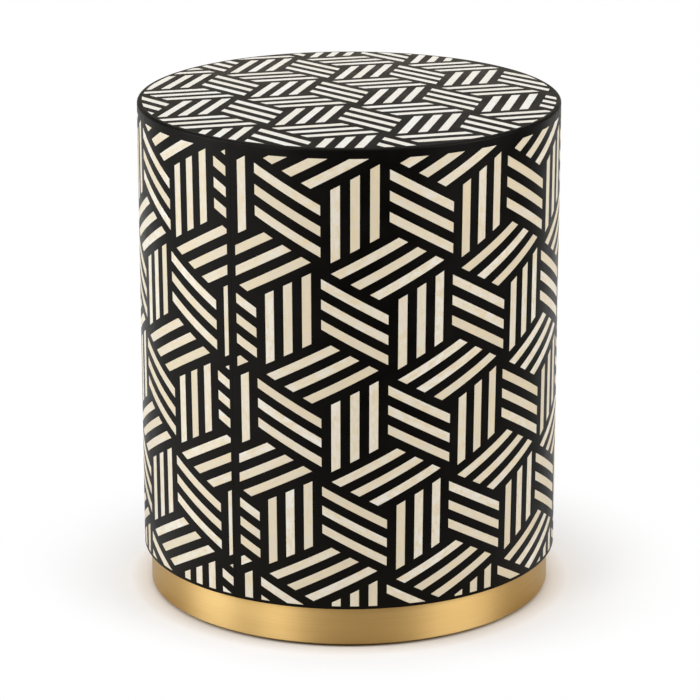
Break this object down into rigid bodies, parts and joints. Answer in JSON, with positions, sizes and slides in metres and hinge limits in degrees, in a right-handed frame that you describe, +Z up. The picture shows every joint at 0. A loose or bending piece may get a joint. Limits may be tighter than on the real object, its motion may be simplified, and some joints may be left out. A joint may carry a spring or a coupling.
{
  "type": "drum stool",
  "caption": "Cylindrical drum stool with a flat top, striped tumbling-block bone inlay in black resin, and a set-back brass plinth band.",
  "frame": {"origin": "on the floor, at the drum's vertical axis", "axes": "+Z up, -Y towards the front that the picture shows, with the inlay's joint at the front left"},
  "size_m": [0.38, 0.38, 0.455],
  "materials": {
    "black_resin": "satin black cast resin, sanded flush with the bone",
    "bone": "polished cream bone, slightly varied from strip to strip",
    "plywood": "bent birch plywood, lower edge sealed black",
    "board": "fibreboard, sealed black where it shows",
    "brass": "brushed along its length, clear lacquer",
    "steel": "zinc plated",
    "glide": "moulded dark nylon"
  },
  "bodies": {
    "root": {"top_ground": "black_resin", "side_ground": "black_resin", "top_bone_steep": "bone", "top_bone_falling": "bone", "top_bone_rising": "bone", "side_bone_upright": "bone", "side_bone_falling": "bone", "side_bone_rising": "bone", "drum_wall": "plywood", "seam_battens": "plywood", "upper_hoop": "plywood", "middle_hoop": "plywood", "top_panel": "board", "bottom_panel": "board", "plinth_ring": "board", "plinth_band": "brass", "band_pins": "brass", "hoop_screws": "steel", "plinth_screws": "steel", "floor_glides": "glide"}
  },
  "joints": []
}
